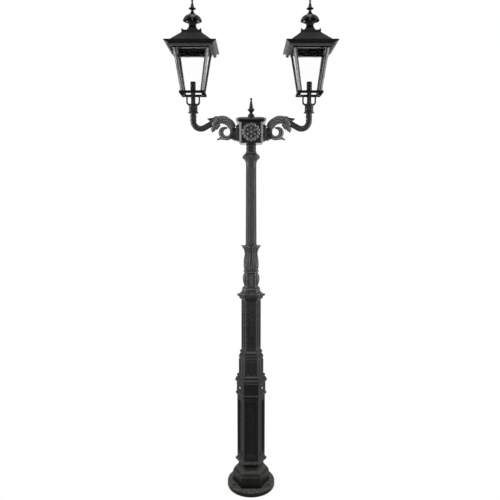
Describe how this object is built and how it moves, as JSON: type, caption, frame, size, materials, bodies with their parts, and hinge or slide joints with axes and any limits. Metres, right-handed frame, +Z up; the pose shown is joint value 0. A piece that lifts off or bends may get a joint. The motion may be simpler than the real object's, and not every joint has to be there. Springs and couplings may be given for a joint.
{
  "type": "lamp post",
  "caption": "Victorian style lamp post with a six-sided panelled base, fluted column and head box whose scrolled arms carry square tapered lanterns with lifting roofs.",
  "frame": {"origin": "centre of the flange's underside, on the post's axis", "axes": "+Z up along the post, +X towards the right lantern seen from the front, -Y out of the front face with the access door"},
  "size_m": [1.156, 0.348, 3.484],
  "materials": {
    "black_casting": "satin",
    "black_iron": "satin",
    "bright_steel": "satin",
    "zinc_steel": "satin",
    "grey_plastic": "matte",
    "black_plastic": "satin",
    "lead_rubber": "matte",
    "brass": "satin",
    "clear_glass": "polished"
  },
  "bodies": {
    "post": {"arm_bolts": "bright_steel", "back_rosette": "black_casting", "base_casting": "black_iron", "cable_glands": "grey_plastic", "column_capital": "black_casting", "connection_box": "grey_plastic", "connection_box_cover": "grey_plastic", "core_tube": "zinc_steel", "fluted_column": "black_casting", "front_rosette": "black_casting", "head_box": "black_casting", "head_collar": "black_casting", "head_finial": "black_casting", "head_lid": "black_casting", "hex_shaft": "black_casting", "leaf_cup": "black_casting", "left_arm": "black_casting", "left_bottom_frame": "black_casting", "left_corner_posts": "black_casting", "left_glass_panes": "clear_glass", "left_lamp_holder": "black_plastic", "left_lamp_lead": "lead_rubber", "left_lamp_stem": "black_casting", "left_roof_hinge_pins": "bright_steel", "left_socket_contacts": "brass", "left_top_frame": "black_casting", "left_yoke": "black_casting", "lid_screws": "bright_steel", "lower_vase": "black_casting", "mounting_rail": "zinc_steel", "rail_screws": "bright_steel", "right_arm": "black_casting", "right_bottom_frame": "black_casting", "right_corner_posts": "black_casting", "right_glass_panes": "clear_glass", "right_lamp_holder": "black_plastic", "right_lamp_lead": "lead_rubber", "right_lamp_stem": "black_casting", "right_roof_hinge_pins": "bright_steel", "right_socket_contacts": "brass", "right_top_frame": "black_casting", "right_yoke": "black_casting", "set_screws": "bright_steel", "terminal_block": "grey_plastic"},
    "door": {"access_door": "black_iron", "door_hinge_pins": "bright_steel"},
    "lock": {"door_lock": "bright_steel"},
    "left_lantern_roof": {"left_roof": "black_casting", "left_crown": "black_casting", "left_chimney": "black_casting", "left_cowl": "black_casting", "left_roof_finial": "black_casting"},
    "right_lantern_roof": {"right_roof": "black_casting", "right_crown": "black_casting", "right_chimney": "black_casting", "right_cowl": "black_casting", "right_roof_finial": "black_casting"}
  },
  "joints": [
    {"name": "door_tilt", "type": "hinge", "parent": "post", "child": "door", "pos_m": [0, -0.0804, 0.2395], "axis": [1, 0, 0], "range_deg": [0, 60]},
    {"name": "door_lock_turn", "type": "hinge", "parent": "door", "child": "lock", "pos_m": [0, -0.0879, 0.665], "axis": [0, -1, 0], "range_deg": [0, 90]},
    {"name": "left_roof_hinge", "type": "hinge", "parent": "post", "child": "left_lantern_roof", "pos_m": [-0.405, 0.1295, 3.1375], "axis": [-1, 0, 0], "range_deg": [0, 100]},
    {"name": "right_roof_hinge", "type": "hinge", "parent": "post", "child": "right_lantern_roof", "pos_m": [0.405, 0.1295, 3.1375], "axis": [-1, 0, 0], "range_deg": [0, 100]}
  ]
}
